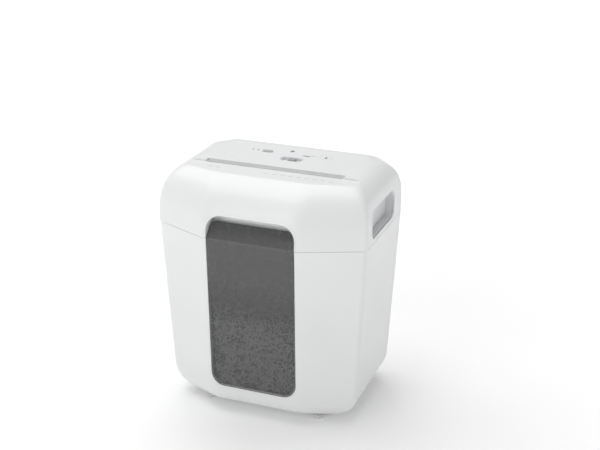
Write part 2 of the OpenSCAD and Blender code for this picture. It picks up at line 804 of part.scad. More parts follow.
module cooling_fan() {
    color(dark) difference() {
        union() {
            rod_x(motor_x0 - 14, 9, motor_y, motor_z, 7);
            for (a = [0 : 51.428571 : 359]) rotate_about_motor(a)
                translate([motor_x0 - 13, motor_y, motor_z - 1]) rotate([0, 24, 0])
                    cube([7, 22, 1.6]);
        }
        rod_x(motor_x0 - 15, 12, motor_y, motor_z, 2.52);
    }
}
module motor_screws() {
    color(steel) for (a = [45, 225]) translate([
        plate_x + plate_t, motor_y + 19 * cos(a), motor_z + 19 * sin(a)
    ]) rotate([0, -90, 0]) screw(8, 1.9, 3.6);
}

// ---- controls

module control_board() {
    color(green) difference() {
        translate([-70, 8, board_z]) cube([140, 72, 1.6]);
        for (p = board_hole) translate([p[0], p[1], board_z - 1]) cylinder(h = 4, r = 1.7);
    }
}
module board_parts() {
    top = board_z + 1.6;
    color(dark) union() {
        translate([-62, 24, top]) cube([20, 16, 10]);
        translate([-34, 66, top]) cube([12, 12, 11]);
        translate([30, 66, top]) cylinder(h = 12, r = 6);
        translate([46, 66, top]) cylinder(h = 12, r = 6);
        translate([slider_at[0] - 10, slider_at[1] - 4, top]) cube([20, 8, 5]);
        translate([button_at[0] - 4, button_at[1] - 4, top]) cube([8, 8, 5]);
        translate([34, 12, top]) cube([22, 9, 10]);
    }
}
module board_posts() {
    color(white) for (p = board_hole) difference() {
        translate([p[0], p[1], board_z + 1.6]) cylinder(h = deck_z - deck_t - board_z - 1.6, r = 3.4);
        translate([p[0], p[1], board_z]) cylinder(h = 12, r = 1.3);
    }
}
module interlock_switch() {
    color(dark) union() {
        translate([post_x - 10, post_y - 12, floor_z + 16]) cube([20, 14, 12]);
        translate([post_x - 10, post_y - 12, floor_z]) cube([3, 4, 17]);
        translate([post_x + 7, post_y - 12, floor_z]) cube([3, 4, 17]);
    }
}
module interlock_plunger() {
    color("#d2674a") translate([post_x, post_y - 2, 0]) union() {
        translate([0, 0, skirt_z - 0.1]) cylinder(h = 17, r = plunger_r);
        translate([0, 0, floor_z + 4.5]) cylinder(h = 3, r = 5);
    }
}
module mode_slider() {
    color(dark) translate([slider_at[0], slider_at[1], deck_z - 3.6]) union() {
        difference() {
            linear_extrude(4.6) round_rect(12, 11, 2.5);
            for (i = [-1 : 1]) translate([i * 3 - 0.5, -7, 3.9]) cube([1, 14, 2]);
        }
        translate([-3, -2, -13.5]) cube([6, 4, 13.7]);
    }
}
module reverse_button() {
    color("#c2c5c7") translate([button_at[0], button_at[1], deck_z - 9]) union() {
        linear_extrude(10.2) round_rect(17.2, 9.2, 4.5);
        linear_extrude(3) round_rect(21, 13, 5);
        translate([0, 0, -6.8]) cylinder(h = 7.3, r = 2);
    }
}
module cover_screws() {
    color(steel) for (sx = [-1, 1]) for (p = cover_boss_at)
        translate([sx * p[0], p[1], rim_z - 5]) screw(24, 1.55, 3.4);
}
module frame_screws() {
    color(steel) union() {
        for (p = standoff_at) translate([gearbox_x + 1.6, p[0], p[1]]) rotate([0, -90, 0])
            screw(7, 1.55, 3.4);
        for (p = board_hole) translate([p[0], p[1], board_z]) screw(10, 1.25, 2.6);
    }
}

bin_shell();
bin_window();
bin_feet();
interlock_post();
shredded_paper();
top_cover();
arch_liner();
lower_housing();
centre_panel();
left_grip();
right_grip();
paper_throat();
switch_tray();
status_lenses();
feed_sensor();
cord_gland();
left_side_plate();
right_side_plate();
gearbox_plate();
gearbox_standoffs();
tie_rods();
shaft_bushes();
front_comb();
rear_comb();
front_shaft();
front_cutters();
front_timing_gear();
rear_shaft();
rear_cutters();
rear_timing_gear();
drive_gear();
idler_pin();
idler_gear();
motor_can();
motor_end_cap();
motor_magnets();
motor_rotor();
motor_pinion();
cooling_fan();
motor_screws();
control_board();
board_parts();
board_posts();
interlock_switch();
interlock_plunger();
mode_slider();
reverse_button();
cover_screws();
frame_screws();
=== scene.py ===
"""Looks of the desk-side paper shredder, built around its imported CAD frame.

Outlines are worked out in millimetres, as in the CAD source, and meshes are made in metres.
"""

import math
import random

import bmesh
import bpy
from mathutils import Matrix, Vector, noise


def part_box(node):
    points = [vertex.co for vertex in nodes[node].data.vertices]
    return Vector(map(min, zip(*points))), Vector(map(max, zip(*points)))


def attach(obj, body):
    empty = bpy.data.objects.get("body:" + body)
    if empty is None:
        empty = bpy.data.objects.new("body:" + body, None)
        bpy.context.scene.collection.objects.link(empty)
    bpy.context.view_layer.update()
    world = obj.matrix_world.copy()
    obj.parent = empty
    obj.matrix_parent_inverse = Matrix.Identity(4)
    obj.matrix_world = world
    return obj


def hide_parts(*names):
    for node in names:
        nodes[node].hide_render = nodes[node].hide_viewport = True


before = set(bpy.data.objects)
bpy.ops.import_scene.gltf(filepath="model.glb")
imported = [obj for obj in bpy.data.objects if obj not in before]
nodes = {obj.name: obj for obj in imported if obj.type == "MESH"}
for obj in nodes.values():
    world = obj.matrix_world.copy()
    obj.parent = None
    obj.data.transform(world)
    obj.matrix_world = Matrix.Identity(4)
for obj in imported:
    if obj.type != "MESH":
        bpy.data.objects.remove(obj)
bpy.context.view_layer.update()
scene = bpy.context.scene
MM = 0.001

# ---- sizes read from the frame, in millimetres

shell_low, shell_high = (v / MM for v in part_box("bin_shell"))
cover_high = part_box("top_cover")[1] / MM
heap_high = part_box("shredded_paper")[1] / MM
button_low, button_high = (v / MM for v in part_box("reverse_button"))
slider_low, slider_high = (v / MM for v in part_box("mode_slider"))
lens_low, lens_high = (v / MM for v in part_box("status_lenses"))

SEAT_GAP = 0.3
RIM_Z = shell_high.z + SEAT_GAP
RIM_HALF = round(shell_high.x)
RIM_FRONT = round(shell_low.y)
RIM_BACK = round(shell_high.y)
FLOOR_Z = shell_low.z
HEAD_H = cover_high.z - RIM_Z
DECK_Z = cover_high.z

# ---- sizes that repeat the CAD source, in millimetres

# Bin: how far its walls lean in from rim to foot, and its rounds.
SIDE_TAPER = 14
FRONT_TAPER = 16
BACK_TAPER = 6
BASE_ROUND = 46
BACK_ROUND = 14
BIN_WALL = 3

# Plan: half of the flat front, how far the front corners stand back at the rim and at the
# bin's base, the back chamfers, and the radii of the front's folds and of the corners.
FLAT_HALF = 71
CORNER_IN = 43
BASE_JUT = 5
CHAMFER_BACK = 28
CHAMFER_IN = 25
FRONT_ROUND = 60
CORNER_RADII = (12, 10)

# Rib inside the bin's back wall.
RIB_X = -87
RIB_FOOT = 60
RIB_TOP = 264
RIB_DEEP = 7
RIB_HALF = 1.5

# Window: its panel, the ledge that holds it, and its lip above the rim.
WINDOW_FOOT = 50.3
WINDOW_T = 2.2
WINDOW_PROUD = 0.6
WINDOW_FIT = 0.3
WINDOW_FOOT_ROUND = 22
WINDOW_TOP_ROUND = 13
LEDGE = 2.2
PAST_RIM = 30
LIP_RISE = 22
LIP_LEAN = 23

# Cover: its slope at the front, its cheeks at the sides and back, and the heights they start at.
COVER_WALL = 2.6
DECK_T = 5
SLOPE_IN = 83
CHEEK_IN = 46
CHEEK_FROM = 28
BACK_FROM = 36
DECK_JUT = 4
SHOULDER_POWER = 2.3
COVER_CORNER = 5
COVER_CORNER_GROWS = 24

# Openings of the cover.
LIP_STEP = 2.4
SLOT_Y = -24
SLOT_HALF = 5.2
THROAT_END = 113.5
ARCH_H = 40
ARCH_HALF = FLAT_HALF + 2
ARCH_ROUND = 26
GRIP_HALF = 58
GRIP_H = 46
GRIP_Z = RIM_Z + 29
GRIP_ROUND = 14
VENTS_EACH_SIDE = 7
VENT_PITCH = 9
VENT_MID = -20
VENT_W = 3
VENT_Z = (RIM_Z + 14, RIM_Z + 34)
GLAND = (110, RIM_Z + 16)
GLAND_R = 7
GLAND_SEAT_R = 9.3
GLAND_SEAT = 1.1
SKIRT_DROP = 37

# ---- steps of the meshes

BIN_CORNER_STEPS = 8
COVER_CORNER_STEPS = 9
ARC_STEPS = 14
ROUND_RECT_STEPS = 8
FINE_CIRCLE_STEPS = 24
# Outlines are taken this far above the bin's foot at the lowest.
JUST_ABOVE = 0.01

# Heights in metres between which the smoked window turns from clear to dark.
CLEAR_BELOW = 0.165
DARK_ABOVE = 0.24

# ---- camera, lights and floor

CAMERA_AZIMUTH = 20.278
CAMERA_HEIGHT = 21.477
CAMERA_ROLL = 0.638
CAMERA_DISTANCE = 1.8574
CAMERA_TARGET = Vector((0.0348, -0.0025, 0.2967))
CAMERA_LENS = 70.94
FLOOR_HALF = 30


def make_camera():
    """The photograph's camera: it looks down at the lifted head from the front right."""
    az, el, roll = (math.radians(a) for a in (CAMERA_AZIMUTH, CAMERA_HEIGHT, CAMERA_ROLL))
    back = Vector((math.sin(az) * math.cos(el), -math.cos(az) * math.cos(el), math.sin(el)))
    level = Vector((math.cos(az), math.sin(az), 0))
    above = back.cross(level)
    right = level * math.cos(roll) + above * math.sin(roll)
    up = above * math.cos(roll) - level * math.sin(roll)
    data = bpy.data.cameras.new("camera")
    data.lens = CAMERA_LENS
    data.sensor_width = 36
    camera = bpy.data.objects.new("camera", data)
    scene.collection.objects.link(camera)
    place = Matrix((right, up, back)).transposed().to_4x4()
    place.translation = CAMERA_TARGET + back * CAMERA_DISTANCE
    camera.matrix_world = place
    scene.camera = camera


def area_light(name, at, aim, size, power):
    """A soft rectangular lamp that the camera doesn't see."""
    data = bpy.data.lights.new(name, "AREA")
    data.shape = "RECTANGLE"
    data.size, data.size_y = size
    data.energy = power
    lamp = bpy.data.objects.new(name, data)
    lamp.location = at
    lamp.rotation_euler = (Vector(aim) - Vector(at)).to_track_quat("-Z", "Y").to_euler()
    lamp.visible_camera = False
    scene.collection.objects.link(lamp)


def make_world(ambient):
    """An even white studio: the camera sees plain white, the object gets a softer light."""
    world = bpy.data.worlds.new("studio")
    world.use_nodes = True
    tree = world.node_tree
    background = tree.nodes["Background"]
    background.inputs["Color"].default_value = (1, 1, 1, 1)
    path = tree.nodes.new("ShaderNodeLightPath")
    choice = tree.nodes.new("ShaderNodeMapRange")
    choice.inputs["To Min"].default_value = ambient
    choice.inputs["To Max"].default_value = 1.0
    tree.links.new(path.outputs["Is Camera Ray"], choice.inputs["Value"])
    tree.links.new(choice.outputs["Result"], background.inputs["Strength"])
    scene.world = world


make_camera()
make_world(0.34)
area_light("top_light", (-1.1, 0.7, 4.2), (0, 0, 0.3), (4.8, 4.8), 155)
area_light("front_light", (-1.0, -3.0, 1.5), (0, 0, 0.3), (2.0, 1.6), 20)
area_light("side_light", (3.0, -0.8, 1.2), (0, 0, 0.3), (1.6, 1.6), 7)
area_light("bin_light", (0, -0.01, 0.34), (0, 0.01, 0.2), (0.2, 0.07), 0.15)
scene.view_settings.view_transform = "Standard"

# ---- materials


class Shader:
    """A Principled material with its nodes, built up by small steps."""

    def __init__(self, name, colour, roughness, **sockets):
        self.material = bpy.data.materials.new(name)
        self.material.use_nodes = True
        self.material.diffuse_color = (*colour, 1)
        self.tree = self.material.node_tree
        self.bsdf = self.tree.nodes["Principled BSDF"]
        self.bsdf.inputs["Base Color"].default_value = (*colour, 1)
        self.bsdf.inputs["Roughness"].default_value = roughness
        for key, value in sockets.items():
            self.bsdf.inputs[key.replace("_", " ")].default_value = value
        self.colour = colour
        self.roughness = roughness
        self.place = self.add("ShaderNodeTexCoord").outputs["Object"]

    def add(self, kind, **settings):
        node = self.tree.nodes.new(kind)
        for key, value in settings.items():
            setattr(node, key, value)
        return node

    def link(self, source, target):
        self.tree.links.new(source, target)

    def noise(self, scale, detail, stretch=(1, 1, 1)):
        """Noise with features about 1/scale metres across; stretch makes it finer along an axis."""
        mapping = self.add("ShaderNodeMapping")
        mapping.inputs["Scale"].default_value = stretch
        self.link(self.place, mapping.inputs["Vector"])
        texture = self.add("ShaderNodeTexNoise")
        texture.inputs["Scale"].default_value = scale
        texture.inputs["Detail"].default_value = detail
        self.link(mapping.outputs["Vector"], texture.inputs["Vector"])
        return texture.outputs["Fac"]

    def ramp(self, source, low, high, start=0.0, end=1.0):
        """A number from low to high as source goes from start to end."""
        scale = self.add("ShaderNodeMapRange")
        scale.inputs["From Min"].default_value = start
        scale.inputs["From Max"].default_value = end
        scale.inputs["To Min"].default_value = low
        scale.inputs["To Max"].default_value = high
        self.link(source, scale.inputs["Value"])
        return scale.outputs["Result"]

    def tint(self, source, low, high, start=0.3, end=0.7):
        """Base colour from low times the material's own to high times it."""
        mix = self.add("ShaderNodeMix", data_type="RGBA")
        mix.inputs["A"].default_value = (*(c * low for c in self.colour), 1)
        mix.inputs["B"].default_value = (*(min(1, c * high) for c in self.colour), 1)
        self.link(self.ramp(source, 0, 1, start, end), mix.inputs["Factor"])
        self.link(mix.outputs["Result"], self.bsdf.inputs["Base Color"])
        return self

    def gloss(self, source, spread):
        """Roughness that wanders by spread either side of the material's own."""
        low, high = self.roughness - spread, self.roughness + spread
        self.link(self.ramp(source, low, high, 0.3, 0.7), self.bsdf.inputs["Roughness"])
        return self

    def bump(self, source, height, strength=1.0):
        """Relief of that height in metres; a second call adds to the first."""
        node = self.add("ShaderNodeBump")
        node.inputs["Distance"].default_value = height
        node.inputs["Strength"].default_value = strength
        self.link(source, node.inputs["Height"])
        target = self.bsdf.inputs["Normal"]
        if target.is_linked:
            self.link(target.links[0].from_socket, node.inputs["Normal"])
        self.link(node.outputs["Normal"], target)
        return self


def moulded(name, colour, roughness, grain, depth, **sockets):
    """Moulded plastic: soft tone shifts, uneven gloss, slight sink marks, fine sparked grain."""
    shader = Shader(name, colour, roughness, **sockets)
    shader.tint(shader.noise(9, 1), 0.985, 1.01)
    shader.gloss(shader.noise(45, 2), 0.03)
    shader.bump(shader.noise(7, 0), 0.0003, 0.2)
    shader.bump(shader.noise(grain, 2), depth, 0.4)
    return shader.material


def brushed(name, colour, roughness, along, **sockets):
    """Rolled or turned metal with fine lines that run across the axis named by along."""
    stretch = {"x": (1, 18, 18), "y": (18, 1, 18), "z": (18, 18, 1)}[along]
    shader = Shader(name, colour, roughness, Metallic=1.0, **sockets)
    shader.tint(shader.noise(40, 3), 0.86, 1.08)
    shader.gloss(shader.noise(160, 4, stretch), 0.09)
    shader.bump(shader.noise(220, 3, stretch), 0.00003, 0.7)
    return shader.material


WHITE = (0.84, 0.845, 0.85)
white_gloss = moulded("white_gloss_plastic", WHITE, 0.38, 900, 0.000008, Coat_Weight=0.12)
pale_plastic = moulded("pale_grey_plastic", (0.72, 0.73, 0.74), 0.45, 1500, 0.00005)
print_grey = moulded("pale_grey_print", (0.60, 0.61, 0.62), 0.5, 1500, 0.000005)
print_dark = moulded("dark_grey_print", (0.24, 0.245, 0.25), 0.5, 1500, 0.000005)
foot_rubber = moulded("soft_grey_foot", (0.72, 0.72, 0.71), 0.6, 1100, 0.00008)
grey_control = moulded("grey_control_plastic", (0.50, 0.515, 0.52), 0.38, 1800, 0.00004)
black_plastic = moulded("black_glass_filled_plastic", (0.028, 0.029, 0.031), 0.5, 1300, 0.00006)
orange_plastic = moulded("orange_interlock_plastic", (0.66, 0.14, 0.06), 0.4, 1300, 0.00004)
nylon = moulded("natural_nylon", (0.78, 0.75, 0.66), 0.46, 1200, 4e-5, Subsurface_Weight=0.08)
steel_sheet = brushed("zinc_plated_sheet", (0.62, 0.64, 0.66), 0.34, "y")
steel_turned = brushed("ground_steel_shaft", (0.56, 0.57, 0.58), 0.24, "x")
steel_cutter = brushed("hardened_cutter_steel", (0.42, 0.43, 0.45), 0.3, "z")
steel_screw = brushed("zinc_screw_steel", (0.60, 0.61, 0.62), 0.28, "z")
bronze = brushed("sintered_bronze", (0.62, 0.40, 0.19), 0.42, "x")
copper = brushed("enamelled_copper", (0.62, 0.27, 0.11), 0.3, "x")


def lens_material():
    """Clear plastic with a little haze."""
    shader = Shader("clear_lamp_lens", (0.62, 0.72, 0.78), 0.12, IOR=1.49, Transmission_Weight=0.6)
    shader.gloss(shader.noise(300, 3), 0.04)
    return shader.material


def board_material():
    """Green solder mask with faint copper tracks under it."""
    shader = Shader("green_circuit_board", (0.03, 0.16, 0.07), 0.35)
    tracks = shader.add("ShaderNodeTexBrick", offset=0.5)
    tracks.inputs["Scale"].default_value = 60
    tracks.inputs["Mortar Size"].default_value = 0.06
    tracks.inputs["Color1"].default_value = (0.02, 0.13, 0.05, 1)
    tracks.inputs["Color2"].default_value = (0.03, 0.17, 0.07, 1)
    tracks.inputs["Mortar"].default_value = (0.10, 0.34, 0.14, 1)
    shader.link(shader.place, tracks.inputs["Vector"])
    shader.link(tracks.outputs["Color"], shader.bsdf.inputs["Base Color"])
    shader.bump(tracks.outputs["Fac"], 0.00004, 0.5)
    shader.gloss(shader.noise(200, 3), 0.06)
    return shader.material


def magnet_material():
    """Dull sintered ferrite."""
    shader = Shader("ferrite_magnet", (0.07, 0.07, 0.075), 0.62)
    shader.tint(shader.noise(400, 5), 0.7, 1.35)
    shader.bump(shader.noise(900, 4), 0.00008)
    return shader.material


def smoked_material():
    """Smoked clear plastic: half see-through below, closing to dark towards the lip."""
    shader = Shader("smoked_window_plastic", (0.122, 0.123, 0.125), 0.26, IOR=1.49)
    split = shader.add("ShaderNodeSeparateXYZ")
    shader.link(shader.place, split.inputs[0])
    height = split.outputs["Z"]
    shader.tint(height, 0.78, 1.0, CLEAR_BELOW, DARK_ABOVE)
    solid = shader.ramp(height, 0.42, 0.8, CLEAR_BELOW, DARK_ABOVE)
    shader.link(solid, shader.bsdf.inputs["Alpha"])
    shader.gloss(shader.noise(90, 4), 0.05)
    shader.bump(shader.noise(8, 0), 0.0002, 0.2)
    shader.bump(shader.noise(1600, 2), 0.000008, 0.4)
    return shader.material


def paper_material(name, colour):
    """Copy paper: matt fibres, each strip a shade of its own, a few carrying grey print; a very low
    shade paints the shadow in the heap's body.
    """
    shader = Shader(name, colour, 0.85)
    info = shader.add("ShaderNodeAttribute", attribute_name="shade", attribute_type="GEOMETRY")
    mix = shader.add("ShaderNodeMix", data_type="RGBA")
    mix.inputs["A"].default_value = (*(c * 0.35 for c in colour), 1)
    mix.inputs["B"].default_value = (*colour, 1)
    fibre = shader.add("ShaderNodeMath", operation="MULTIPLY_ADD")
    shader.link(shader.noise(700, 4), fibre.inputs[0])
    fibre.inputs[1].default_value = 0.16
    shader.link(info.outputs["Fac"], fibre.inputs[2])
    shader.link(fibre.outputs["Value"], mix.inputs["Factor"])
    shader.link(mix.outputs["Result"], shader.bsdf.inputs["Base Color"])
    shader.bump(shader.noise(2200, 4), 0.00006)
    return shader.material


lens_clear = lens_material()
board_green = board_material()
ferrite = magnet_material()
smoked = smoked_material()
paper = paper_material("shredded_paper_strips", (0.90, 0.90, 0.89))

# Finish of each CAD node by the record's slot.
FINISH = {
    "white_shell": white_gloss,
    "pale_trim": pale_plastic,
    "smoked_window": smoked,
    "foot_plastic": foot_rubber,
    "paper_shreds": paper,
    "lens": lens_clear,
    "black_plastic": black_plastic,
    "control_grey": grey_control,
    "frame_steel": steel_sheet,
    "cutter_steel": steel_cutter,
    "screw_steel": steel_screw,
    "bronze": bronze,
    "gear_nylon": nylon,
    "magnet": ferrite,
    "copper_winding": copper,
    "circuit_board": board_green,
    "interlock_orange": orange_plastic,
}

# ---- mesh helpers


def new_piece(name, bm, material, body):
    """Turns a bmesh in metres into a piece that rides on a body."""
    bmesh.ops.recalc_face_normals(bm, faces=bm.faces[:])
    mesh = bpy.data.meshes.new(name)
    bm.to_mesh(mesh)
    bm.free()
    mesh.materials.append(material)
    piece = bpy.data.objects.new(name, mesh)
    scene.collection.objects.link(piece)
    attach(piece, body)
    return piece


def smooth(piece, angle=32, sheet_faces=0):
    """Smooth shading, but sharp where faces meet at more than angle or the first faces end."""
    mesh = piece.data
    mesh.polygons.foreach_set("use_smooth", [True] * len(mesh.polygons))
    bm = bmesh.new()
    bm.from_mesh(mesh)
    limit = math.radians(angle)
    for edge in bm.edges:
        seam = len({face.index < sheet_faces for face in edge.link_faces}) == 2
        edge.smooth = not seam and edge.calc_face_angle(0) < limit
    bm.to_mesh(mesh)
    bm.free()
    weighted = piece.modifiers.new("weighted_normals", "WEIGHTED_NORMAL")
    weighted.keep_sharp = True
    return piece


def soften(piece, width):
    """Rounds a piece's hard edges by width millimetres."""
    weld = piece.modifiers.new("weld", "WELD")
    weld.merge_threshold = 0.000005
    bevel = piece.modifiers.new("edge_round", "BEVEL")
    bevel.width = width * MM
    bevel.segments = 2
    bevel.limit_method = "ANGLE"
    bevel.angle_limit = math.radians(40)
    bevel.miter_outer = "MITER_ARC"
    return piece


def metres(bm):
    """Takes a bmesh from millimetres to metres."""
    bmesh.ops.scale(bm, vec=(MM, MM, MM), verts=bm.verts[:])
    return bm


def carve(piece, cutters, operation="DIFFERENCE"):
    """Cuts solids out of a piece, or joins them to it, and removes the solids."""
    for cutter in cutters:
        modifier = piece.modifiers.new("carve", "BOOLEAN")
        modifier.operation = operation
        modifier.solver = "EXACT"
        modifier.object = cutter
    graph = bpy.context.evaluated_depsgraph_get()
    made = bpy.data.meshes.new_from_object(piece.evaluated_get(graph))
    piece.modifiers.clear()
    old = piece.data
    piece.data = made
    bpy.data.meshes.remove(old)
    for cutter in cutters:
        bpy.data.objects.remove(cutter)
    return piece


def scrap(bm):
    """A temporary solid for carve(), made from a bmesh in millimetres."""
    bmesh.ops.recalc_face_normals(bm, faces=bm.faces[:])
    mesh = bpy.data.meshes.new("scrap")
    metres(bm).to_mesh(mesh)
    bm.free()
    solid = bpy.data.objects.new("scrap", mesh)
    scene.collection.objects.link(solid)
    return solid


def loft(rings):
    """A closed bmesh skin through rings of equally many points, with both ends capped."""
    bm = bmesh.new()
    loops = [[bm.verts.new(p) for p in ring] for ring in rings]
    count = len(loops[0])
    for low, high in zip(loops, loops[1:]):
        for i in range(count):
            j = (i + 1) % count
            bm.faces.new((low[i], low[j], high[j], high[i]))
    bm.faces.new(loops[0])
    bm.faces.new(loops[-1])
    return bm


def prism(outline, axis, start, end):
    """A bmesh prism; its outline lies in the plane across axis, in the order of the other axes."""
    lift = {
        "x": lambda a, b, t: (t, a, b),
        "y": lambda a, b, t: (a, t, b),
        "z": lambda a, b, t: (a, b, t),
    }[axis]
    return loft([[lift(a, b, t) for a, b in outline] for t in (start, end)])


def block(low, high):
    """A box between two corners."""
    outline = [(low[0], low[1]), (high[0], low[1]), (high[0], high[1]), (low[0], high[1])]
    return prism(outline, "z", low[2], high[2])


def round_rect(centre, width, height, radius):
    """Points of a rectangle with round corners."""
    points = []
    for k, (sx, sy) in enumerate(((1, 1), (-1, 1), (-1, -1), (1, -1))):
        mid_x = centre[0] + sx * (width / 2 - radius)
        mid_y = centre[1] + sy * (height / 2 - radius)
        for i in range(ROUND_RECT_STEPS + 1):
            a = math.radians(90 * (k + i / ROUND_RECT_STEPS))
            points.append((mid_x + radius * math.cos(a), mid_y + radius * math.sin(a)))
    return points


def circle(centre, radius, steps=40):
    """Points of a circle."""
    turn = [2 * math.pi * k / steps for k in range(steps)]
    return [(centre[0] + radius * math.cos(a), centre[1] + radius * math.sin(a)) for a in turn]


# ---- the bin's and the cover's outlines, as in the CAD source


def left_of(v):
    """A direction turned a quarter to the left."""
    return Vector((-v.y, v.x))


def inset(points, d):
    """Corners of an anticlockwise outline moved inwards by d."""
    moved = []
    for i, here in enumerate(points):
        u = (here - points[i - 1]).normalized()
        v = (points[(i + 1) % len(points)] - here).normalized()
        p = here + left_of(u) * d
        q = here + left_of(v) * d
        moved.append(p + u * ((q - p).cross(v) / u.cross(v)))
    return moved


def rounded(points, radii, steps):
    """Each corner turned into an arc of its own radius."""
    outline = []
    for i, here in enumerate(points):
        u = (here - points[i - 1]).normalized()
        v = (points[(i + 1) % len(points)] - here).normalized()
        turn = math.asin(max(-1, min(1, u.cross(v))))
        start = here - u * radii[i] * math.tan(turn / 2)
        mid = start + left_of(u) * radii[i]
        first = math.atan2(start.y - mid.y, start.x - mid.x)
        for k in range(steps + 1):
            a = first + turn * k / steps
            outline.append(mid + Vector((math.cos(a), math.sin(a))) * radii[i])
    return outline


def body_plan(side, face, rear, jut, d, radii, steps):
    """Plan of the body: flat front with slanted corners, straight sides, chamfered back.

    side, face and rear say how far those walls have come in from the rim's, jut how far the
    front's corners stand behind its flat middle, and radii how round front and back corners are.
    """
    half, front, back = RIM_HALF - side, RIM_FRONT + face, RIM_BACK - rear
    right = [(half, front + jut), (half, back - CHAMFER_BACK), (half - CHAMFER_IN, back)]
    corners = [(-FLAT_HALF, front), (FLAT_HALF, front)] + right
    corners += [(-x, y) for x, y in reversed(right)]
    front_r, back_r = radii
    each = [FRONT_ROUND, FRONT_ROUND, front_r] + [back_r] * 4 + [front_r]
    return rounded(inset([Vector(c) for c in corners], d), each, steps)


def quarter(steps):
    """Angles from nothing to a quarter turn."""
    return [math.pi / 2 * k / steps for k in range(steps + 1)]


def round_in(h, r):
    """How far a quarter-round of radius r stands in, h above its foot."""
    return 0 if h >= r else r - math.sqrt(r * r - (r - h) ** 2)


def shoulder(h, h0, h1, width):
    """How far a soft shoulder from height h0 to h1 has come in at height h."""
    if h <= h0:
        return 0
    rise = ((h - h0) / (h1 - h0)) ** SHOULDER_POWER
    return width * (1 - max(0, 1 - rise) ** (1 / SHOULDER_POWER))


def bin_ring(z, d, at=None):
    """The bin's outline at height z, moved in by d, drawn at height at."""
    t = (RIM_Z - z) / (RIM_Z - FLOOR_Z)
    under = round_in(z - FLOOR_Z, BASE_ROUND)
    side = SIDE_TAPER * t + under
    face = FRONT_TAPER * t + under
    rear = BACK_TAPER * t + round_in(z - FLOOR_Z, BACK_ROUND)
    jut = CORNER_IN + (BASE_JUT - CORNER_IN) * under / BASE_ROUND
    outline = body_plan(side, face, rear, jut, d, CORNER_RADII, BIN_CORNER_STEPS)
    height = z if at is None else at
    return [(p.x, p.y, height) for p in outline]


def cover_ring(h, d, at=None):
    """The cover's outline h above the rim, moved in by d, drawn at height at."""
    face = shoulder(h, 0, HEAD_H, SLOPE_IN)
    side = shoulder(h, CHEEK_FROM, HEAD_H, CHEEK_IN)
    rear = shoulder(h, BACK_FROM, HEAD_H, CHEEK_IN)
    blend = face / SLOPE_IN
    jut = CORNER_IN + (DECK_JUT - CORNER_IN) * blend
    radii = (COVER_CORNER + COVER_CORNER_GROWS * blend, CORNER_RADII[1])
    outline = body_plan(side, face, rear, jut, d, radii, COVER_CORNER_STEPS)
    height = RIM_Z + h if at is None else at
    return [(p.x, p.y, height) for p in outline]


# ---- smoked window, drawn flat and then bent up the front and back over the rim

LEAN = math.atan(FRONT_TAPER / (RIM_Z - FLOOR_Z))
LIP_LEN = math.hypot(LIP_RISE, LIP_LEAN)
LIP_ANGLE = math.atan2(LIP_LEAN, LIP_RISE)
BEND_R = 8.0
BEND_LEG = BEND_R * math.tan(LIP_ANGLE / 2)
FLAT_FOOT = WINDOW_FOOT - RIM_Z
FLAT_TOP = LIP_LEN - 0.5
ARC_START = FLAT_HALF - FRONT_ROUND * math.tan(math.atan2(CORNER_IN, RIM_HALF - FLAT_HALF) / 2)


def front_bow(u):
    """How far the front face has curved back, u from its middle."""
    extra = max(0, abs(u) - ARC_START)
    return FRONT_ROUND - math.sqrt(FRONT_ROUND * FRONT_ROUND - extra * extra)


def from_leaning(u, along, inward):
    """The point with those measures up the leaning front from the rim and in from it."""
    y = inward * math.cos(LEAN) - along * math.sin(LEAN)
    z = inward * math.sin(LEAN) + along * math.cos(LEAN)
    return Vector((u, RIM_FRONT + y, RIM_Z + z))


def on_front(u, s, depth):
    """A point of the window: u across, s up the leaning front and the lip, depth inwards."""
    fade = min(1, max(0, 1 - s / LIP_LEN))
    if s < -BEND_LEG:
        along, inward, turn = s, 0, 0
    elif s < -BEND_LEG + BEND_R * LIP_ANGLE:
        turn = (s + BEND_LEG) / BEND_R
        along = -BEND_LEG + BEND_R * math.sin(turn)
        inward = BEND_R * (1 - math.cos(turn))
    else:
        turn = LIP_ANGLE
        rest = s + BEND_LEG - BEND_R * LIP_ANGLE
        along = -BEND_LEG + BEND_R * math.sin(turn) + rest * math.cos(turn)
        inward = BEND_R * (1 - math.cos(turn)) + rest * math.sin(turn)
    inward += front_bow(u) * fade + depth * math.cos(turn)
    along -= depth * math.sin(turn)
    return from_leaning(u, along, inward)


def straight_front(u, s, depth):
    """As on_front(), without the bend of the lip: for cutting the shell up past its rim."""
    return from_leaning(u, s, front_bow(u) + depth)


def tongue(half, low, high, low_r, high_r):
    """Outline with two lower and two upper round corners."""
    points = []
    corners = (
        (half, high, high_r, 0),
        (-half, high, high_r, 90),
        (-half, low, low_r, 180),
        (half, low, low_r, 270),
    )
    for x, y, r, first in corners:
        for k in range(ARC_STEPS + 1):
            a = math.radians(first + 90 * k / ARC_STEPS)
            cx = x - math.copysign(r, x)
            cy = y - r if first < 180 else y + r
            points.append((cx + r * math.cos(a), cy + r * math.sin(a)))
    return points


def flat_sheet(outline, u_step, s_step):
    """One flat face cut into a grid, keeping its outline."""
    bm = bmesh.new()
    bm.faces.new([bm.verts.new((u, s, 0)) for u, s in outline])
    for axis, step in enumerate((u_step, s_step)):
        normal = [0, 0, 0]
        normal[axis] = 1
        values = [p[axis] for p in outline]
        first, span = min(values), max(values) - min(values)
        count = max(2, round(span / step))
        for k in range(1, count):
            point = [0, 0, 0]
            point[axis] = first + span * k / count
            geometry = bm.verts[:] + bm.edges[:] + bm.faces[:]
            bmesh.ops.bisect_plane(bm, geom=geometry, dist=1e-5, plane_co=point, plane_no=normal)
    bm.verts.index_update()
    return bm


